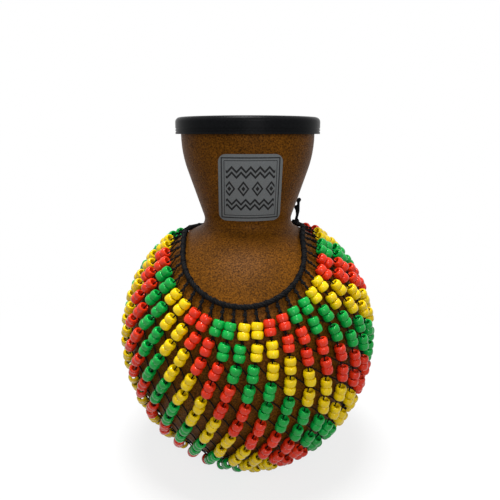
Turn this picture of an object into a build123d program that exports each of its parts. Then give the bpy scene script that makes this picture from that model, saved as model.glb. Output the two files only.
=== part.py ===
"""A shekere: a hollow gourd with an open neck, dressed in a loose net of beaded cords.

Millimetres, +Z up, origin at the centre of the flat base that the gourd stands on.
The front faces -Y. The net hangs askew, low at the front and high at the back, as the
player leaves it, and it turns round the gourd about Z.
"""
import os
from math import asin, atan2, cos, degrees, floor, radians, sin, sqrt, tan

from build123d import *

# Gourd: a round shoulder, a belly drawn in below on a flatter curve, a tapered neck that
# flares to a straight lip, and one even wall.
belly_radius = 104.5
belly_height = 115.0
belly_curve = 126.0
wall = 3.5
neck_taper = 18.8
waist_fillet = 9.0
flare_radius = 93.0
lip_radius = 56.5
rim_height = 290.2
lip_length = 11.0

# Rubber trim: a channel pushed over the lip, with two fine grooves low on its outside.
trim_outer_leg = 4.5
trim_inner_leg = 3.0
trim_cover = 2.6
trim_inner_length = 9.0
trim_round = 4.0
trim_clearance = 0.1
groove_width = 0.8
groove_depth = 0.5
groove_heights = (2.2, 4.2)

# Label: a thin sheet wrapped on the front of the neck, a little to the right.
label_width = 50.0
label_height = 54.0
label_corner = 6.0
label_middle = 248.4
label_thickness = 0.4
label_gap = 0.15
label_turn = 2.7

# Beads and cords.
bead_diameter = 9.0
bead_length = 6.0
bead_hole = 4.0
bead_gap = 0.1
beads_per_link = 2
cord_diameter = 1.0
knot_diameter = 2.8
collar_diameter = 4.2
base_cord_diameter = 2.4
hitch_wall = 0.9
hitch_width = 2.6
clearance = 0.3
hitch_slip = 0.1
collar_rise = 0.6
leg_spacing = 0.8
cross_reach = 10.4
cross_lead = 0.06
bend_share = 0.45

# How the net lies, in degrees about the middle of the belly. Polar angles are counted from
# the net's own top, which leans towards the front by the tilt.
# Under the collar the columns are gathered towards the front; below, they even out and swirl.
collar_polar = 37.6
collar_sag = -2.7
collar_oval = 9.9
collar_slip = -2.5
pendant_polar = 5.4
last_knot_polar = 141.0
base_cord_polar = 146.0
tilt_top = 16.0
tilt_bottom = 14.0
first_azimuth = 8.0
gather = 23.5
swirl = 9.0
swirl_growth = 28.0
hitch_pitch = 11.2
cross_side = 0.47
colours = ("yellow", "red", "green")
columns_per_band = 2
tie_azimuth = 140.0
tie_diameter = 7.6
tie_tails = ((2.5, 2.0, 20.0), (1.0, 5.0, 13.0))
tie_tail_diameter = 2.2
tie_end_diameter = 4.6

# What follows from the sizes above.
middle = Vector(0, 0, belly_height)
curve_offset = belly_radius - belly_curve
lip_top = rim_height + lip_length
bead_radius = bead_diameter / 2
cord_radius = cord_diameter / 2
hole_offset = bead_hole / 2 - cord_radius - clearance
link_least = beads_per_link * (bead_length + bead_gap) + knot_diameter - bead_gap
# The collar runs straight between hitches, inside the round skin, so it stands higher by that much.
collar_lift = collar_diameter / 2 + hitch_slip + hitch_wall + collar_rise + clearance
base_lift = base_cord_diameter / 2 + hitch_slip + hitch_wall + clearance
colour_period = columns_per_band * len(colours)


def gourd_half(inset, top):
    """Half section of the gourd, a given depth inside its outer skin, closed level at the top."""
    radius = belly_radius - inset
    curve = belly_curve - inset
    base_angle = degrees(asin((belly_height - inset) / curve))
    flare_centre = Vector(lip_radius - flare_radius, rim_height)
    flare_inner = flare_radius - inset
    slope = radians(neck_taper)
    outward = Vector(cos(slope), -sin(slope))
    down = Vector(-sin(slope), -cos(slope))
    neck_top = flare_centre + outward * flare_inner
    # The bend at the waist touches the straight neck and the round shoulder.
    bend = waist_fillet + inset
    belly_centre = Vector(0, belly_height)
    from_belly = neck_top + outward * bend - belly_centre
    along = from_belly.dot(down)
    reach = -along - sqrt(along**2 - from_belly.dot(from_belly) + (radius + bend) ** 2)
    bend_centre = belly_centre + from_belly + down * reach
    to_belly = (belly_centre - bend_centre).normalized()
    shoulder_angle = degrees(atan2(-to_belly.Y, -to_belly.X))
    bend_middle = bend_centre + (to_belly - outward).normalized() * bend
    neck_foot = bend_centre - outward * bend
    with BuildSketch(Plane.XZ) as half:
        with BuildLine():
            lower = CenterArc((curve_offset, belly_height), curve, -base_angle, base_angle)
            Line((0, inset), lower @ 0)
            shoulder = CenterArc(belly_centre, radius, 0, shoulder_angle)
            ThreePointArc(shoulder @ 1, bend_middle, neck_foot)
            Line(neck_foot, neck_top)
            CenterArc(flare_centre, flare_inner, -neck_taper, neck_taper)
            Polyline((lip_radius - inset, rim_height), (lip_radius - inset, top), (0, top), (0, inset))
        make_face()
    return half.sketch


def skin_radius(direction):
    """Distance from the middle of the belly to the gourd's skin along a unit direction."""
    if direction.Z >= 0:
        return belly_radius
    across = curve_offset * sqrt(1 - direction.Z**2)
    return across + sqrt(across**2 + belly_curve**2 - curve_offset**2)


def on_gourd(azimuth, polar, tilt, lift):
    """A point at a height above the skin, by the net's own angles; the front is azimuth 0."""
    around = radians(azimuth)
    down = radians(polar)
    upright = Vector(sin(down) * sin(around), -sin(down) * cos(around), cos(down))
    direction = upright.rotate(Axis.X, tilt)
    return middle + direction * (skin_radius(direction) + lift)


def collar_angle(azimuth):
    """Polar angle of the collar: drawn in at the sides, spread at the front and the back."""
    around = radians(azimuth)
    lean = collar_sag * cos(around) + collar_slip * sin(around)
    return collar_polar + lean + collar_oval * cos(2 * around)


def collar_point(azimuth):
    return on_gourd(azimuth, collar_angle(azimuth), tilt_top, collar_lift)


def base_point(azimuth):
    return on_gourd(azimuth, base_cord_polar, tilt_bottom, base_lift)


def ring_length(point_at):
    """Length of a closed ring, measured on chords of one degree."""
    return sum((point_at(a + 1) - point_at(a)).length for a in range(360))


columns = colour_period * floor(ring_length(collar_point) / (colour_period * hitch_pitch))
column_step = 360 / columns


def net_azimuth(column, down):
    """Azimuth of a column of the net at a share of the way down from the first knot to the last."""
    even = first_azimuth + column * column_step
    gathered = gather * sin(radians(even)) * (1 - down) ** 2
    return even - gathered - swirl * down - swirl_growth * down**2


def net_point(column, row, rows, lift):
    """A place in the net; whole columns and rows are knots."""
    down = row / rows
    azimuth = net_azimuth(column, down)
    top = collar_angle(azimuth) + pendant_polar
    polar = top + (last_knot_polar - top) * down
    return on_gourd(azimuth, polar, tilt_top + (tilt_bottom - tilt_top) * down, lift)


def links(rows, lift):
    """Each straight stretch of cord between two knots of a column, as its two ends."""
    return [
        (net_point(column, row, rows, lift), net_point(column, row + 1, rows, lift))
        for column in range(columns)
        for row in range(rows)
    ]


def longest_rows():
    """The most rows whose shortest link still takes its beads and a knot."""
    rows = 1
    while min((end - start).length for start, end in links(rows + 1, bead_radius)) >= link_least:
        rows += 1
    return rows


rows = longest_rows()
longest_link = max((end - start).length for start, end in links(rows, bead_radius))
# A taut link cuts inside the round skin, so the knots stand higher by that much.
link_sag = longest_link**2 / (8 * belly_radius)
cord_lift = bead_radius + clearance + link_sag - hole_offset
bare_cord_lift = 1.6 * cord_diameter


def knot_at(column, row):
    return net_point(column, row, rows, cord_lift)


def bend_radii(points, closed):
    """At each corner of a route, the largest arc that its two runs allow."""
    count = len(points)
    radii = []
    for corner in range(count) if closed else range(1, count - 1):
        before = points[corner] - points[corner - 1]
        after = points[(corner + 1) % count] - points[corner]
        half_turn = radians(before.get_angle(after)) / 2
        radii.append(bend_share * min(before.length, after.length) / tan(half_turn))
    return radii


def cord(points, diameter, closed=False):
    """A round cord of straight runs joined by tangent arcs."""
    with BuildPart() as tube:
        with BuildLine() as route:
            FilletPolyline(*points, radius=bend_radii(points, closed), close=closed)
        with BuildSketch(Plane(route.line @ 0, z_dir=route.line % 0)):
            Circle(diameter / 2)
        sweep()
    return tube.part


def stretch(start, end, diameter):
    """A straight round piece from one point to another."""
    run = end - start
    place = Plane(start, z_dir=run)
    with BuildPart(place) as piece:
        Cylinder(diameter / 2, run.length, align=(Align.CENTER, Align.CENTER, Align.MIN))
    return piece.part


def hitch(ring_at, column, down, ring_diameter, knot):
    """A cord folded over a ring: a snug sleeve round it and a doubled end down to a knot."""
    # The ring's straight run under the hitch ends half a column to either side.
    run_start = ring_at(net_azimuth(column - 0.5, down))
    run_end = ring_at(net_azimuth(column + 0.5, down))
    seat = (run_start + run_end) / 2
    along = (run_end - run_start).normalized()
    inner = ring_diameter / 2 + hitch_slip
    outer = inner + hitch_wall
    side = along * leg_spacing / 2
    legs = [stretch(seat + shift, knot + shift, cord_diameter) for shift in (side, -side)]
    place = Plane(seat, z_dir=along).location
    with BuildPart() as loop:
        with Locations(place):
            Cylinder(outer, hitch_width)
        add(legs)
        with Locations(place):
            Cylinder(inner, 2 * hitch_width, mode=Mode.SUBTRACT)
    return loop.part


os.makedirs("parts", exist_ok=True)


def save(piece, name):
    piece.part.label = name
    export_step(piece.part, f"parts/{name}.step")


# Gourd shell, one moulding with an open mouth.
with BuildPart() as gourd_shell:
    revolve(gourd_half(0, lip_top), axis=Axis.Z)
    revolve(gourd_half(wall, lip_top), axis=Axis.Z, mode=Mode.SUBTRACT)
save(gourd_shell, "gourd_shell")

# Rim trim, closed over the lip's top edge.
with BuildPart() as rim_trim:
    trim_radius = lip_radius + trim_outer_leg
    trim_bore = lip_radius - wall - trim_inner_leg
    trim_top = lip_top + trim_cover
    with BuildSketch(Plane.XZ) as trim_section:
        with Locations((trim_bore, rim_height)):
            Rectangle(trim_radius - trim_bore, trim_top - rim_height, align=Align.MIN)
        with Locations((trim_bore, lip_top - trim_inner_length)):
            Rectangle(
                lip_radius - trim_bore,
                lip_length,
                align=(Align.MIN, Align.MAX),
                mode=Mode.SUBTRACT,
            )
        with Locations((lip_radius - wall - trim_clearance, lip_top)):
            Rectangle(
                wall + 2 * trim_clearance,
                2 * lip_length,
                align=(Align.MIN, Align.MAX),
                mode=Mode.SUBTRACT,
            )
        with Locations(*[(trim_radius, rim_height + height) for height in groove_heights]):
            Rectangle(2 * groove_depth, groove_width, mode=Mode.SUBTRACT)
        fillet(trim_section.vertices().group_by(Axis.Y)[-1], trim_round)
    revolve(axis=Axis.Z)
save(rim_trim, "rim_trim")

# Label, bent to the neck's own outline.
with BuildPart() as neck_label:
    revolve(gourd_half(-label_gap - label_thickness, lip_top), axis=Axis.Z)
    revolve(gourd_half(-label_gap, lip_top), axis=Axis.Z, mode=Mode.SUBTRACT)
    facing = Vector(0, -1, 0).rotate(Axis.Z, label_turn)
    label_plane = Plane((0, 0, label_middle), x_dir=Vector(1, 0, 0).rotate(Axis.Z, label_turn), z_dir=facing)
    with BuildSketch(label_plane):
        RectangleRounded(label_width, label_height, label_corner)
    extrude(amount=2 * lip_radius, mode=Mode.INTERSECT)
save(neck_label, "neck_label")

# Collar cord, which the whole net hangs from. Its corners lie half way between the hitches.
collar_route = [collar_point(net_azimuth(column + 0.5, 0)) for column in range(columns)]
collar_ring = cord(collar_route, collar_diameter, closed=True)
with BuildPart() as collar_cord:
    add(collar_ring)
save(collar_cord, "collar_cord")

# Collar tie, the knot that closes the collar behind the neck, with its two loose ends.
tie_seat = collar_point(tie_azimuth)
tie_middle = tie_seat + (tie_seat - middle).normalized() * (tie_diameter / 2 + clearance - collar_lift)
tails = [stretch(tie_middle, tie_middle + Vector(*tail), tie_tail_diameter) for tail in tie_tails]
with BuildPart() as collar_tie:
    with Locations(tie_middle):
        Sphere(tie_diameter / 2)
    add(tails)
    with Locations(*[tie_middle + Vector(*tail) for tail in tie_tails]):
        Sphere(tie_end_diameter / 2)
save(collar_tie, "collar_tie")

# Hitches on the collar, one for each column.
top_hitches = [
    hitch(collar_point, column, 0, collar_diameter, knot_at(column, 0))
    for column in range(columns)
]
with BuildPart() as collar_hitches:
    add(top_hitches)
save(collar_hitches, "collar_hitches")

# Knots, where each bead cord meets the bare cord that comes across from its neighbour.
with BuildPart() as net_knots:
    with Locations(*[knot_at(column, row) for column in range(columns) for row in range(rows + 1)]):
        Sphere(knot_diameter / 2)
save(net_knots, "net_knots")

# Bead cords, one down each column.
bead_strands = [
    cord([knot_at(column, row) for row in range(rows + 1)], cord_diameter)
    for column in range(columns)
]
with BuildPart() as bead_cords:
    add(bead_strands)
save(bead_cords, "bead_cords")


def cross_route(column):
    """A bare cord's route, one column to the right at every row, low between the beads."""
    points = [knot_at(column, 0)]
    for row in range(rows):
        here = column + row
        spacing = (knot_at(here + 1, row) - knot_at(here, row)).length
        side = min(cross_side, cross_reach / spacing)
        leave = net_point(here + side, row + cross_lead, rows, bare_cord_lift)
        arrive = net_point(here + 1 - side, row + 1 - cross_lead, rows, bare_cord_lift)
        points += [leave, arrive, knot_at(here + 1, row + 1)]
    return points


# Cross cords, the bare half of the net.
bare_strands = [cord(cross_route(column), cord_diameter) for column in range(columns)]
with BuildPart() as cross_cords:
    add(bare_strands)
save(cross_cords, "cross_cords")

# Base cord, which gathers the net round the bare base, and its hitches.
base_route = [base_point(net_azimuth(column + 0.5, 1)) for column in range(columns)]
base_ring = cord(base_route, base_cord_diameter, closed=True)
with BuildPart() as base_cord:
    add(base_ring)
save(base_cord, "base_cord")

bottom_hitches = [
    hitch(base_point, column, 1, base_cord_diameter, knot_at(column, rows))
    for column in range(columns)
]
with BuildPart() as base_hitches:
    add(bottom_hitches)
save(base_hitches, "base_hitches")

# One bead, moulded round at both ends.
with BuildPart() as bead:
    bead_round = bead_radius - bead_hole / 2
    with BuildSketch(Plane.XZ) as bead_section:
        with Locations((bead_hole / 2, 0)):
            Rectangle(bead_round, bead_length, align=(Align.MIN, Align.CENTER))
        fillet(bead_section.vertices().group_by(Axis.X)[-1], bead_round - clearance)
    revolve(axis=Axis.Z)


def bead_places(column, row):
    """Places of the beads on one link, side by side in its middle and lifted off the skin."""
    start = knot_at(column, row)
    end = knot_at(column, row + 1)
    along = (end - start).normalized()
    half_way = (start + end) / 2
    radial = half_way - middle
    outward = (radial - along * radial.dot(along)).normalized()
    places = []
    for number in range(beads_per_link):
        shift = (number - (beads_per_link - 1) / 2) * (bead_length + bead_gap)
        centre = half_way + along * shift + outward * hole_offset
        places.append(Plane(centre, x_dir=outward, z_dir=along).location)
    return places


# Bead bands: each runs across the net beside the bare cords and has one colour.
for band in range(columns // columns_per_band):
    places = []
    for row in range(rows):
        for column in range(columns_per_band):
            # The first band of the first colour meets the collar astride the front.
            places += bead_places(band * columns_per_band + column - 1 + row, row)
    with BuildPart() as bead_band:
        with Locations(*places):
            add(bead.part)
    save(bead_band, f"{colours[band % len(colours)]}_beads_{band // len(colours) + 1}")

print(f"columns {columns}, rows {rows}, longest link {longest_link:.2f}")
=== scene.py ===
import math
import random

import bpy
from mathutils import Matrix, Vector


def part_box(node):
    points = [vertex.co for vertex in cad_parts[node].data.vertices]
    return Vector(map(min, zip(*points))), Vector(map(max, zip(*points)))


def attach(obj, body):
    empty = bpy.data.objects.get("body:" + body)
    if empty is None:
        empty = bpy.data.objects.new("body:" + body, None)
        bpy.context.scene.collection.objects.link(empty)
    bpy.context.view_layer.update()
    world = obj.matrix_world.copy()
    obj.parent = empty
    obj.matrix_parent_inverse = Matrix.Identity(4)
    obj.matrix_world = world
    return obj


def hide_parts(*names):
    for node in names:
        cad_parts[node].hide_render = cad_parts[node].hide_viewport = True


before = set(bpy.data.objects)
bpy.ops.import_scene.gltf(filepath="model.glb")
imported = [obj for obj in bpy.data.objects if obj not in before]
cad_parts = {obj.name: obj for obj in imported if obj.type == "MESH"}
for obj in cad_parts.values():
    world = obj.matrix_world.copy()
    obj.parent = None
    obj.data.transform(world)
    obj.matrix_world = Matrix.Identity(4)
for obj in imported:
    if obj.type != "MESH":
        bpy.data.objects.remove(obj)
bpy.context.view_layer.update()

# Gourd shell. A hollow fibreglass moulding in brown gel coat, with the fine leathery grain of
# its mould all over it. It is moulded in one, from the flat base to the lip of the open mouth.


def new_material(name):
    """A material, the two lists that its nodes and links go in, and its shader."""
    material = bpy.data.materials.new(name)
    material.use_nodes = True
    nodes = material.node_tree.nodes
    return material, nodes, material.node_tree.links, nodes["Principled BSDF"]


def add_math(nodes, links, operation, *values):
    """A calculation on values; each may be a number or a socket."""
    step = nodes.new("ShaderNodeMath")
    step.operation = operation
    for socket, value in zip(step.inputs, values):
        if isinstance(value, float):
            socket.default_value = value
        else:
            links.new(value, socket)
    return step.outputs["Value"]


def add_span(nodes, links, value, from_range, to_range):
    """A value taken from one range to another."""
    span = nodes.new("ShaderNodeMapRange")
    for name, limit in zip(("From Min", "From Max", "To Min", "To Max"), (*from_range, *to_range)):
        span.inputs[name].default_value = limit
    links.new(value, span.inputs["Value"])
    return span.outputs["Result"]


def grain_group():
    """Shader group: fine irregular grain of a given size, as a height and as a mask."""
    mask_contrast = (0.38, 0.64)
    group = bpy.data.node_groups.new("Grain", "ShaderNodeTree")
    for name in ("Scale", "Spread"):
        group.interface.new_socket(name, in_out="INPUT", socket_type="NodeSocketFloat")
    for name in ("Height", "Mask"):
        group.interface.new_socket(name, in_out="OUTPUT", socket_type="NodeSocketFloat")
    nodes, links = group.nodes, group.links
    given = nodes.new("NodeGroupInput")
    result = nodes.new("NodeGroupOutput")
    place = nodes.new("ShaderNodeTexCoord")
    pebbles = nodes.new("ShaderNodeTexVoronoi")
    pebbles.feature = "SMOOTH_F1"
    pebbles.inputs["Smoothness"].default_value = 0.6
    warp = nodes.new("ShaderNodeTexNoise")
    warp.inputs["Detail"].default_value = 4.0
    warp.inputs["Roughness"].default_value = 0.65
    for texture in (pebbles, warp):
        links.new(place.outputs["Object"], texture.inputs["Vector"])
        links.new(given.outputs["Scale"], texture.inputs["Scale"])
    uneven = warp.outputs["Fac"]
    height = add_math(
        nodes, links, "MULTIPLY_ADD", uneven, given.outputs["Spread"], pebbles.outputs["Distance"]
    )
    links.new(height, result.inputs["Height"])
    links.new(add_span(nodes, links, uneven, mask_contrast, (0, 1)), result.inputs["Mask"])
    return group


GRAIN = grain_group()


def add_grain(nodes, scale, spread):
    """One use of the grain in a material: its height and its mask."""
    grain = nodes.new("ShaderNodeGroup")
    grain.node_tree = GRAIN
    grain.inputs["Scale"].default_value = scale
    grain.inputs["Spread"].default_value = spread
    return grain.outputs["Height"], grain.outputs["Mask"]


def add_bump(nodes, links, shader, height, strength, distance):
    """A bump from a height, into the shader's normal."""
    bump = nodes.new("ShaderNodeBump")
    bump.inputs["Strength"].default_value = strength
    bump.inputs["Distance"].default_value = distance
    links.new(height, bump.inputs["Height"])
    links.new(bump.outputs["Normal"], shader.inputs["Normal"])


def add_mix(nodes, links, mask, low, high):
    """A colour that goes from low to high with a mask; each may be a colour or a socket."""
    mix = nodes.new("ShaderNodeMix")
    mix.data_type = "RGBA"
    links.new(mask, mix.inputs["Factor"])
    for socket, colour in ((mix.inputs["A"], low), (mix.inputs["B"], high)):
        if isinstance(colour, tuple):
            socket.default_value = (*colour, 1)
        else:
            links.new(colour, socket)
    return mix.outputs["Result"]


def add_roughness(nodes, links, shader, mask, low, high):
    """Roughness that goes from low to high with a mask."""
    links.new(add_span(nodes, links, mask, (0, 1), (low, high)), shader.inputs["Roughness"])


def gel_coat():
    """Brown fibreglass gel coat: dark in the grain, lighter on the pebbles, clouded all over."""
    pit, pebble = (0.050, 0.0165, 0.0006), (0.225, 0.080, 0.006)
    clouded_pit, clouded_pebble = (0.034, 0.0115, 0.0004), (0.158, 0.056, 0.004)
    material, nodes, links, shader = new_material("brown_gel_coat")
    grain, speckle = add_grain(nodes, 820.0, 0.9)
    cloud = add_grain(nodes, 26.0, 0.5)[1]
    clear = add_mix(nodes, links, speckle, pit, pebble)
    clouded = add_mix(nodes, links, speckle, clouded_pit, clouded_pebble)
    links.new(add_mix(nodes, links, cloud, clouded, clear), shader.inputs["Base Color"])
    add_roughness(nodes, links, shader, speckle, 0.55, 0.4)
    shader.inputs["Specular IOR Level"].default_value = 0.05
    add_bump(nodes, links, shader, grain, 0.4, 0.0003)
    return material


def dress(node, material):
    """A CAD node keeps its shape and takes a finish."""
    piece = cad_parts[node]
    piece.data.materials.clear()
    piece.data.materials.append(material)


dress("gourd_shell", gel_coat())

# Rim trim. A black rubber channel pushed over the lip, rounded on top, with two fine grooves
# low on its outside. It is a stretch of extruded edging, butted into a ring.


def edging_rubber():
    """Black rubber, satin, with a faint grain."""
    dark, worn = (0.0035, 0.0038, 0.0045), (0.007, 0.0075, 0.0085)
    material, nodes, links, shader = new_material("edging_rubber")
    grain, speckle = add_grain(nodes, 900.0, 0.6)
    links.new(add_mix(nodes, links, speckle, dark, worn), shader.inputs["Base Color"])
    add_roughness(nodes, links, shader, speckle, 0.28, 0.38)
    shader.inputs["Specular IOR Level"].default_value = 0.04
    add_bump(nodes, links, shader, grain, 0.08, 0.0002)
    return material


dress("rim_trim", edging_rubber())

# Label. A thin silver-grey vinyl sheet, printed in black with a keyline and rows of plain
# geometric figures, and stuck round the front of the neck.
label_low, label_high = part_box("neck_label")
label_middle_z = (label_low.z + label_high.z) / 2
label_half_width = (label_high.x - label_low.x) / 2
label_half_height = (label_high.z - label_low.z) / 2
label_turn = math.radians(2.7)
keyline_limits = (-0.0033, -0.0024)
thin_line_limits = (-0.0052, -0.0047)
field_limit = -0.0062
diamond_period = 0.011
diamond_slope = 0.75
diamond_limits = (0.0031, 0.0047)
diamond_heart = 0.0016
zigzag_period = 0.0073
zigzag_slope = 1.1
inner_zigzag_limits = (0.0118, 0.0140)
outer_zigzag_limits = (0.0160, 0.0182)


def printed_vinyl():
    """Silver vinyl with a printed keyline, a row of diamonds and two rows of zigzags."""
    dull_silver, bright_silver = (0.140, 0.150, 0.155), (0.180, 0.191, 0.196)
    black_ink = (0.010, 0.010, 0.011)
    material, nodes, links, shader = new_material("printed_vinyl")
    place = nodes.new("ShaderNodeTexCoord")
    parts = nodes.new("ShaderNodeSeparateXYZ")
    links.new(place.outputs["Object"], parts.inputs["Vector"])

    def calc(operation, *values):
        return add_math(nodes, links, operation, *values)

    def wave(across, period):
        """A triangle wave from 0 to half the period."""
        return calc("PINGPONG", across, period / 2)

    def band(value, limits):
        """1 where a value lies between two limits."""
        low, high = limits
        return calc("COMPARE", value, (low + high) / 2, (high - low) / 2)

    forward = calc("MULTIPLY", parts.outputs["Y"], math.sin(label_turn))
    across = calc("MULTIPLY_ADD", parts.outputs["X"], math.cos(label_turn), forward)
    level = calc("ABSOLUTE", calc("SUBTRACT", parts.outputs["Z"], label_middle_z))
    # How far a point lies outside the sheet's edge: less than 0 on the sheet.
    past_side = calc("SUBTRACT", calc("ABSOLUTE", across), label_half_width)
    past_edge = calc("MAXIMUM", past_side, calc("SUBTRACT", level, label_half_height))
    lines = calc("MAXIMUM", band(past_edge, keyline_limits), band(past_edge, thin_line_limits))
    field = calc("LESS_THAN", past_edge, field_limit)
    diamond_wave = wave(calc("ADD", across, diamond_period / 2), diamond_period)
    diamond = calc("ADD", diamond_wave, calc("MULTIPLY", level, diamond_slope))
    heart = calc("LESS_THAN", diamond, diamond_heart)
    diamonds = calc("MAXIMUM", band(diamond, diamond_limits), heart)
    zigzag = calc("ADD", level, calc("MULTIPLY", wave(across, zigzag_period), zigzag_slope))
    zigzags = calc("MAXIMUM", band(zigzag, inner_zigzag_limits), band(zigzag, outer_zigzag_limits))
    figures = calc("MULTIPLY", calc("MAXIMUM", diamonds, zigzags), field)
    ink = calc("MAXIMUM", lines, figures)
    sparkle = add_grain(nodes, 1400.0, 0.5)[1]
    silver = add_mix(nodes, links, sparkle, dull_silver, bright_silver)
    links.new(add_mix(nodes, links, ink, silver, black_ink), shader.inputs["Base Color"])
    add_roughness(nodes, links, shader, ink, 0.36, 0.5)
    shader.inputs["Specular IOR Level"].default_value = 0.15
    add_bump(nodes, links, shader, ink, 0.15, 0.00004)
    return material


dress("neck_label", printed_vinyl())

# Collar. A thick black cord ring that the whole net hangs from, laid up from three strands,
# lying askew on the shoulder: low at the front and high behind the neck.
belly_radius = 0.1045
belly_height = 0.115
belly_curve = 0.126
curve_offset = belly_radius - belly_curve
middle = Vector((0, 0, belly_height))
tilt_top = 16.0
collar_polar = 37.6
collar_sag = -2.7
collar_slip = -2.5
collar_oval = 9.9
collar_radius = 0.0021
collar_lift = 0.0024
collar_turns = 52
rope_points = 720
strand_share = 0.54


def on_gourd(azimuth, polar, tilt, lift):
    """A point above the gourd's skin, by the net's own angles; the front is azimuth 0."""
    around = math.radians(azimuth)
    down = math.radians(polar)
    level = math.sin(down)
    upright = Vector((level * math.sin(around), -level * math.cos(around), math.cos(down)))
    direction = Matrix.Rotation(math.radians(tilt), 3, "X") @ upright
    reach = belly_radius
    if direction.z < 0:
        across = curve_offset * math.sqrt(1 - direction.z**2)
        reach = across + math.sqrt(across**2 + belly_curve**2 - curve_offset**2)
    return middle + direction * (reach + lift)


def collar_angle(azimuth):
    """Polar angle of the collar: drawn in at the sides, spread at the front and the back."""
    around = math.radians(azimuth)
    askew = collar_sag * math.cos(around) + collar_slip * math.sin(around)
    return collar_polar + askew + collar_oval * math.cos(2 * around)


def collar_point(azimuth):
    """A point on the collar's middle line."""
    return on_gourd(azimuth, collar_angle(azimuth), tilt_top, collar_lift)


def outward_at(point, along):
    """The direction away from the gourd, square to a cord's run."""
    radial = point - middle
    return (radial - along * radial.dot(along)).normalized()


def net_piece(name, shape, finish, node):
    """A finished piece of the net, in place of its CAD node."""
    shape.materials.append(finish)
    piece = bpy.data.objects.new(name, shape)
    bpy.context.scene.collection.objects.link(piece)
    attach(piece, "net")
    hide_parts(node)


def smooth_mesh(name, points, faces):
    """A mesh with smooth shading."""
    mesh = bpy.data.meshes.new(name)
    mesh.from_pydata(points, [], faces)
    for polygon in mesh.polygons:
        polygon.use_smooth = True
    return mesh


class Yarn:
    """A mesh in the making, of cords along lists of points."""

    def __init__(self):
        self.points = []
        self.faces = []

    def section(self, point, out, side, radius, sides):
        """One ring of corners round a point of a route."""
        for corner in range(sides):
            angle = math.tau * corner / sides
            self.points.append(point + (out * math.cos(angle) + side * math.sin(angle)) * radius)

    def skin(self, first, count, sides, closed):
        """Faces from each ring to the next, for rings that start at a given corner."""
        for ring in range(count if closed else count - 1):
            near = first + ring * sides
            far = first + (ring + 1) % count * sides
            for corner in range(sides):
                beside = (corner + 1) % sides
                self.faces.append((near + corner, near + beside, far + beside, far + corner))

    def tube(self, route, radius, sides, closed=False):
        """A cord along a route, with flat ends unless it is closed."""
        count = len(route)
        first = len(self.points)
        for number, point in enumerate(route):
            before = route[number - 1] if closed or number else point
            after = route[(number + 1) % count] if closed or number < count - 1 else point
            along = (after - before).normalized()
            out = outward_at(point, along)
            self.section(point, out, along.cross(out), radius, sides)
        self.skin(first, count, sides, closed)
        if not closed:
            last = first + (count - 1) * sides
            self.faces.append(tuple(first + corner for corner in reversed(range(sides))))
            self.faces.append(tuple(last + corner for corner in range(sides)))

    def wrap(self, centre, axis, out, reach, radius, steps=16, sides=6):
        """One turn of cord round an axis."""
        first = len(self.points)
        side = axis.cross(out)
        for number in range(steps):
            angle = math.tau * number / steps
            away = out * math.cos(angle) + side * math.sin(angle)
            self.section(centre + away * reach, away, -axis, radius, sides)
        self.skin(first, steps, sides, closed=True)

    def rope(self, route, radius, turns, strands=3):
        """A closed laid rope: strands that wind round the route together."""
        count = len(route)
        strand_radius = radius * strand_share
        for strand in range(strands):
            winding = []
            for number, point in enumerate(route):
                along = (route[(number + 1) % count] - route[number - 1]).normalized()
                out = outward_at(point, along)
                angle = math.tau * (turns * number / count + strand / strands)
                shift = out * math.cos(angle) + along.cross(out) * math.sin(angle)
                winding.append(point + shift * (radius - strand_radius))
            self.tube(winding, strand_radius, 8, closed=True)

    def made(self, name, node):
        """The finished cords, in place of their CAD node."""
        net_piece(name, smooth_mesh(name, self.points, self.faces), yarn_finish, node)


def waxed_yarn():
    """Black waxed yarn: nearly matt, with dusty fibres."""
    black, dusty = (0.003, 0.003, 0.0035), (0.010, 0.010, 0.011)
    material, nodes, links, shader = new_material("waxed_yarn")
    fibre, dust = add_grain(nodes, 2200.0, 0.8)
    links.new(add_mix(nodes, links, dust, black, dusty), shader.inputs["Base Color"])
    add_roughness(nodes, links, shader, dust, 0.5, 0.75)
    shader.inputs["Specular IOR Level"].default_value = 0.06
    add_bump(nodes, links, shader, fibre, 0.35, 0.0002)
    return material


yarn_finish = waxed_yarn()
collar_route = [collar_point(360 * number / rope_points) for number in range(rope_points)]
collar = Yarn()
collar.rope(collar_route, collar_radius, collar_turns)
collar.made("collar_rope", "collar_cord")

# Collar hitches. Each net cord is folded in half over the collar and drawn through its own
# loop, so two tight wraps and a bar show on the collar. Its two ends hang to a knot, where one
# goes on to the beads and the other leaves as a bare cord.
columns = 36
rows = 11
column_step = 360 / columns
first_azimuth = 8.0
gather = 23.5
swirl = 9.0
swirl_growth = 28.0
tilt_bottom = 14.0
pendant_polar = 5.4
last_knot_polar = 141.0
cord_radius = 0.0005
cord_lift = 0.004163
cord_sides = 7
wrap_sink = 0.0001
wrap_half_gap = 0.000575
beside_hitch = 0.1
leg_bow = 0.5
tied_share = 0.56
tied_radius = 0.0012
tied_stretch = 1.6
tied_cord_radius = 0.00055
bar_reach = 0.0011
bar_crown = 0.0003
knot_depth = 1.5
knot_steps = 24
knot_sides = 6


def net_azimuth(column, down):
    """Where a column stands: gathered to the sides at the top, and swirling going down."""
    even = first_azimuth + column * column_step
    gathered = even - gather * math.sin(math.radians(even)) * (1 - down) ** 2
    return gathered - swirl * down - swirl_growth * down**2


def net_point(column, row, lift):
    """A place in the net; whole columns and rows are knots."""
    down = row / rows
    azimuth = net_azimuth(column, down)
    top = collar_angle(azimuth) + pendant_polar
    polar = top + (last_knot_polar - top) * down
    return on_gourd(azimuth, polar, tilt_top + (tilt_bottom - tilt_top) * down, lift)


def knot_at(column, row):
    """A place in the net at the height of its knots."""
    return net_point(column, row, cord_lift)


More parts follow.
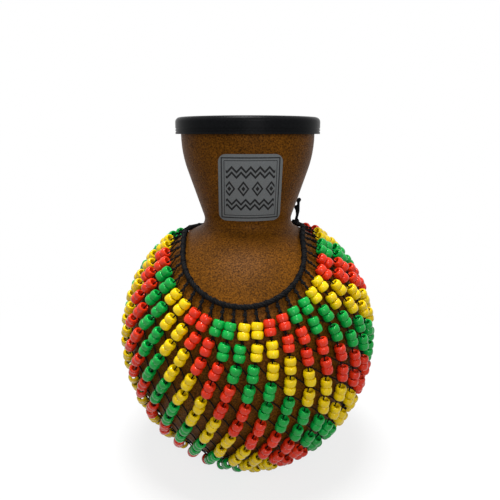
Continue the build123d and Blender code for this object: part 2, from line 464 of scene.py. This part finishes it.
def trefoil(centre, turn, size, steps, stretch=1.0):
    """The route of an overhand knot: a closed trefoil, which reaches 3 before it is scaled."""
    route = []
    for number in range(steps):
        t = math.tau * number / steps
        x = math.sin(t) + 2 * math.sin(2 * t)
        y = math.cos(t) - 2 * math.cos(2 * t)
        z = -math.sin(3 * t)
        route.append(centre + turn @ (Vector((x * stretch, y, z * knot_depth)) * size / 3))
    return route


def hitch(yarn, ring_at, column, down, ring_radius, knot):
    """Two wraps round a ring, a bar across them, two ends to a knot, and one leg on from it."""
    seat = ring_at(net_azimuth(column, down))
    near = ring_at(net_azimuth(column - beside_hitch, down))
    far = ring_at(net_azimuth(column + beside_hitch, down))
    along = (far - near).normalized()
    out = outward_at(seat, along)
    # The wraps are drawn tight, so they sink into the soft ring.
    wrap_radius = ring_radius - wrap_sink
    for shift in (-wrap_half_gap, wrap_half_gap):
        yarn.wrap(seat + along * shift, along, out, wrap_radius, cord_radius)
    towards = (knot - seat).normalized()
    leave = towards * wrap_radius
    tied = seat.lerp(knot, tied_share)
    for shift in (-wrap_half_gap, wrap_half_gap):
        first = seat + along * shift + leave
        bowed = (first + tied) / 2 + along * shift * leg_bow
        yarn.tube([first, bowed, tied], cord_radius, cord_sides)
    yarn.tube([tied, (tied + knot) / 2, knot], cord_radius, cord_sides)
    facing = Matrix((towards, out.cross(towards), out)).transposed()
    tied_route = trefoil(tied, facing, tied_radius, knot_steps, tied_stretch)
    yarn.tube(tied_route, tied_cord_radius, knot_sides, closed=True)
    bar = seat + leave + out * cord_radius
    reach = along * bar_reach
    yarn.tube([bar - reach, bar + out * bar_crown, bar + reach], cord_radius, cord_sides)


top_hitches = Yarn()
for column in range(columns):
    hitch(top_hitches, collar_point, column, 0, collar_radius, knot_at(column, 0))
top_hitches.made("collar_wraps", "collar_hitches")

# Collar tie. The knot that closes the collar behind the neck: an overhand knot with two short
# ends that stand up against the neck, each with a knot at its tip.
tie_azimuth = 140.0
tie_radius = 0.0038
tie_tails = ((0.0025, 0.002, 0.020), (0.001, 0.005, 0.013))
tie_cord_radius = 0.0013
tie_cord_sides = 8
tie_end_radius = 0.0027
tie_clearance = 0.0003
tie_turn = Matrix.Rotation(0.6, 3, "X")
tie_end_turn = Matrix.Rotation(1.1, 3, "X")
tie_steps = 48
tie_end_steps = 36
tail_bow = Vector((0.0012, 0.0006, 0))
tie_seat = collar_point(tie_azimuth)
tie_lift = tie_radius + tie_clearance - collar_lift
tie_middle = tie_seat + (tie_seat - middle).normalized() * tie_lift
tie = Yarn()
tie_route = trefoil(tie_middle, tie_turn, tie_radius - tie_cord_radius, tie_steps)
tie.tube(tie_route, tie_cord_radius, tie_cord_sides, closed=True)
for tail in tie_tails:
    tip = tie_middle + Vector(tail)
    bow = (tie_middle + tip) / 2 + tail_bow
    tail_route = [tie_middle, (tie_middle + bow) / 2, bow, (bow + tip) / 2, tip]
    tie.tube(tail_route, tie_cord_radius, tie_cord_sides)
    end_route = trefoil(tip, tie_end_turn, tie_end_radius - tie_cord_radius, tie_end_steps)
    tie.tube(end_route, tie_cord_radius, tie_cord_sides, closed=True)
tie.made("collar_tie_knot", "collar_tie")

# Net cords. From each knot one half of the cord goes straight down through two beads, and the
# bare half crosses to the next column's knot, close to the skin and under the beads' sides.
bare_cord_lift = 0.0012
bare_shares = (0.25, 0.75)
bead_cord_shares = (0.2, 0.8)


def cord_curve(name, routes, node):
    """Thin round cords along smooth routes, one spline each."""
    curve = bpy.data.curves.new(name, "CURVE")
    curve.dimensions = "3D"
    curve.bevel_depth = cord_radius
    curve.bevel_resolution = 2
    curve.resolution_u = 3
    curve.use_fill_caps = True
    for route in routes:
        spline = curve.splines.new("NURBS")
        spline.points.add(len(route) - 1)
        for knot, point in zip(spline.points, route):
            knot.co = (*point, 1)
        spline.order_u = 3
        spline.use_endpoint_u = True
    net_piece(name, curve, yarn_finish, node)


def bead_route(column):
    """A bead cord's route: straight from knot to knot, kept close to each knot."""
    points = [knot_at(column, 0)]
    for row in range(rows):
        start, end = knot_at(column, row), knot_at(column, row + 1)
        points += [start.lerp(end, share) for share in bead_cord_shares]
        points.append(end)
    return points


def bare_route(column):
    """A bare cord's route, one column to the right at every row, close to the skin."""
    points = [collar_point(net_azimuth(column, 0)).lerp(knot_at(column, 0), tied_share)]
    for row in range(rows):
        here = column + row
        points += [net_point(here + share, row + share, bare_cord_lift) for share in bare_shares]
        points.append(knot_at(here + 1, row + 1))
    return points


cord_curve("bead_strings", [bead_route(column) for column in range(columns)], "bead_cords")
cord_curve("bare_strings", [bare_route(column) for column in range(columns)], "cross_cords")

# Knots. Each is an overhand knot in waxed cord that ties the bead cord and the bare cord
# together. They are pulled tight by hand, so no two lie quite alike.
knot_radius = 0.0014
knot_size_range = (0.56, 0.68)
knot_stretch = 1.45
knot_cord_radius = 0.000525
draw = random.Random(7)
knots = Yarn()
for column in range(columns):
    for row in range(rows + 1):
        place = knot_at(column, row)
        along = (knot_at(column, row + 0.5) - knot_at(column, row - 0.5)).normalized()
        out = outward_at(place, along)
        roll = Matrix.Rotation(draw.uniform(0, math.tau), 3, along)
        turn = roll @ Matrix((along, out.cross(along), out)).transposed()
        size = knot_radius * draw.uniform(*knot_size_range)
        knot_route = trefoil(place, turn, size, knot_steps, knot_stretch)
        knots.tube(knot_route, knot_cord_radius, knot_sides, closed=True)
knots.made("net_overhand_knots", "net_knots")

# Base cord. A thinner ring that gathers the lower ends of the net round the bare base, with
# the ends of each column hitched over it.
base_cord_polar = 146.0
base_cord_radius = 0.0012
base_cord_turns = 90
base_lift = 0.0025


def base_point(azimuth):
    """A point on the base cord's middle line."""
    return on_gourd(azimuth, base_cord_polar, tilt_bottom, base_lift)


base_route = [base_point(360 * number / rope_points) for number in range(rope_points)]
base_ring = Yarn()
base_ring.rope(base_route, base_cord_radius, base_cord_turns)
base_ring.made("base_rope", "base_cord")
low_hitches = Yarn()
for column in range(columns):
    hitch(low_hitches, base_point, column, 1, base_cord_radius, knot_at(column, rows))
low_hitches.made("base_wraps", "base_hitches")

# Beads. Moulded plastic barrels with a wide hole, strung in pairs. Every pair sits a little
# differently on its cord. Their colours run in slanting bands, two columns wide.
bead_radius = 0.0045
bead_hole_radius = 0.002
bead_wall = bead_radius - bead_hole_radius
bead_half_length = 0.003
bead_pitch = 0.0061
hole_offset = 0.0012
pair_slide = (-0.1, 0.35)
bead_lean = 7.0
bead_sway = 0.0006
bead_rise = 0.0004
section_steps = 16
round_steps = 24
outer_power = 2 / 2.1
bore_power = 2 / 3.6
band_columns = 2
colours = {
    "yellow": ((0.79, 0.54, 0.0005), (0.88, 0.64, 0.001)),
    "red": ((0.68, 0.024, 0.004), (0.79, 0.038, 0.007)),
    "green": ((0.0005, 0.315, 0.040), (0.001, 0.405, 0.060)),
}


def moulded_plastic(colour):
    """Opaque glossy bead plastic, a little uneven in tone from bead to bead."""
    material, nodes, links, shader = new_material(f"{colour}_bead_plastic")
    tone = add_grain(nodes, 48.0, 0.5)[1]
    links.new(add_mix(nodes, links, tone, *colours[colour]), shader.inputs["Base Color"])
    dents, scuff = add_grain(nodes, 500.0, 0.5)
    add_roughness(nodes, links, shader, scuff, 0.1, 0.2)
    shader.inputs["Specular IOR Level"].default_value = 0.12
    shader.inputs["Coat Weight"].default_value = 0.22
    shader.inputs["Coat Roughness"].default_value = 0.05
    shader.inputs["Subsurface Weight"].default_value = 0.06
    shader.inputs["Subsurface Radius"].default_value = (0.002, 0.002, 0.002)
    add_bump(nodes, links, shader, dents, 0.03, 0.0002)
    return material


def eased(value, power):
    """Sine or cosine of a section's angle, drawn out towards a square by a power under 1."""
    return math.copysign(abs(value) ** power, value)


bead_section = []
for step in range(section_steps):
    angle = math.tau * (step + 0.5) / section_steps
    power = outer_power if math.cos(angle) > 0 else bore_power
    radius = bead_hole_radius + bead_wall / 2 * (1 + eased(math.cos(angle), power))
    bead_section.append((radius, bead_half_length * eased(math.sin(angle), power)))


def add_bead(points, faces, place):
    """One bead at a place: its section turned about its hole."""
    first = len(points)
    for step in range(round_steps):
        angle = math.tau * step / round_steps
        for radius, along in bead_section:
            points.append(place @ Vector((radius * math.cos(angle), radius * math.sin(angle), along)))
    for step in range(round_steps):
        near = first + step * section_steps
        far = first + (step + 1) % round_steps * section_steps
        for corner in range(section_steps):
            beside = (corner + 1) % section_steps
            faces.append((near + corner, far + corner, far + beside, near + beside))


def bead_places(column, row):
    """Places of the two beads of a link, each a little out of line."""
    start, end = knot_at(column, row), knot_at(column, row + 1)
    along = (end - start).normalized()
    half_way = (start + end) / 2
    out = outward_at(half_way, along)
    slack = max((end - start).length - 2 * bead_pitch - 2 * knot_radius, 0)
    slide = slack * draw.uniform(*pair_slide)
    places = []
    for shift in (-bead_pitch / 2, bead_pitch / 2):
        lean = Matrix.Rotation(math.radians(draw.uniform(-bead_lean, bead_lean)), 3, out)
        axis = lean @ along
        side = axis.cross(out).normalized()
        turn = Matrix((-side, out, axis)).transposed()
        sway = side * draw.uniform(-bead_sway, bead_sway)
        rise = out * (hole_offset + draw.uniform(0, bead_rise))
        centre = half_way + along * (shift + slide) + sway + rise
        places.append(Matrix.Translation(centre) @ turn.to_4x4())
    return places


plastics = {colour: moulded_plastic(colour) for colour in colours}
for band in range(columns // band_columns):
    colour = list(colours)[band % len(colours)]
    points, faces = [], []
    for row in range(rows):
        for column in (band * band_columns - 1, band * band_columns):
            for place in bead_places(column + row, row):
                add_bead(points, faces, place)
    node = f"{colour}_beads_{band // len(colours) + 1}"
    strung = smooth_mesh(f"{node}_strung", points, faces)
    net_piece(f"{node}_strung", strung, plastics[colour], node)

# Stage. A white floor that keeps a soft shadow, two soft boxes and an even white room, and a
# camera level with the lower edge of the trim, in front of the instrument.
floor_size = 6.0
floor_grey = (0.35, 0.35, 0.35)
floor_white = (0.9, 0.9, 0.9)
shadow_reach = (0.12, 0.6)
white_share = (0.78, 1.0)
room_light = (0.3, 1.0)
light_target = Vector((0, 0, 0.15))
floor_mesh = bpy.data.meshes.new("floor")
floor_corners = [(x * floor_size, y * floor_size, 0) for x, y in ((-1, -1), (1, -1), (1, 1), (-1, 1))]
floor_mesh.from_pydata(floor_corners, [], [(0, 1, 2, 3)])
floor = bpy.data.objects.new("floor", floor_mesh)
bpy.context.scene.collection.objects.link(floor)


def seen_rays(nodes, links):
    """1 on rays that show the background: to the camera, or by a reflection or through glass."""
    rays = nodes.new("ShaderNodeLightPath").outputs
    bent = add_math(nodes, links, "MAXIMUM", rays["Is Glossy Ray"], rays["Is Transmission Ray"])
    return add_math(nodes, links, "MAXIMUM", rays["Is Camera Ray"], bent)


# Near the instrument the floor is only partly white by itself, so that the shadow shows;
# further off it is all white, so that no horizon shows.
floor_paint, nodes, links, shader = new_material("floor_paint")
shader.inputs["Roughness"].default_value = 0.9
shader.inputs["Specular IOR Level"].default_value = 0.0
seen = seen_rays(nodes, links)
links.new(add_mix(nodes, links, seen, floor_grey, floor_white), shader.inputs["Base Color"])
place = nodes.new("ShaderNodeTexCoord")
away = nodes.new("ShaderNodeVectorMath")
away.operation = "LENGTH"
links.new(place.outputs["Object"], away.inputs["Vector"])
own_white = add_span(nodes, links, away.outputs["Value"], shadow_reach, white_share)
white = nodes.new("ShaderNodeEmission")
mixed = nodes.new("ShaderNodeMixShader")
links.new(add_math(nodes, links, "MULTIPLY", seen, own_white), mixed.inputs["Fac"])
links.new(shader.outputs["BSDF"], mixed.inputs[1])
links.new(white.outputs["Emission"], mixed.inputs[2])
links.new(mixed.outputs["Shader"], nodes["Material Output"].inputs["Surface"])
floor_mesh.materials.append(floor_paint)

world = bpy.data.worlds.new("white_room")
bpy.context.scene.world = world
world.use_nodes = True
nodes, links = world.node_tree.nodes, world.node_tree.links
room = nodes["Background"]
room.inputs["Color"].default_value = (1, 1, 1, 1)
room_strength = add_span(nodes, links, seen_rays(nodes, links), (0, 1), room_light)
links.new(room_strength, room.inputs["Strength"])


def soft_box(name, place, size, power):
    """A square soft box aimed at the middle of the instrument."""
    lamp = bpy.data.lights.new(name, "AREA")
    lamp.size = size
    lamp.energy = power
    light = bpy.data.objects.new(name, lamp)
    light.location = place
    light.rotation_euler = (light_target - Vector(place)).to_track_quat("-Z", "Y").to_euler()
    bpy.context.scene.collection.objects.link(light)


soft_box("overhead_box", (-0.05, -0.1, 1.3), size=0.45, power=18.0)
soft_box("front_box", (0.25, -1.3, 0.65), size=0.6, power=6.5)

sensor_width = 36.0
focal_pixels = 520.0
frame_pixels = 500.0
camera_distance = 0.454
camera_height = 0.2902
camera_offset = 0.0019
camera_pitch = math.radians(12.57)
camera_data = bpy.data.cameras.new("photo_camera")
camera_data.sensor_width = sensor_width
camera_data.lens = sensor_width * focal_pixels / frame_pixels
camera = bpy.data.objects.new("photo_camera", camera_data)
camera.location = (camera_offset, -camera_distance, camera_height)
camera.rotation_euler = (math.pi / 2 - camera_pitch, 0, 0)
bpy.context.scene.collection.objects.link(camera)
bpy.context.scene.camera = camera
bpy.context.scene.view_settings.view_transform = "Standard"
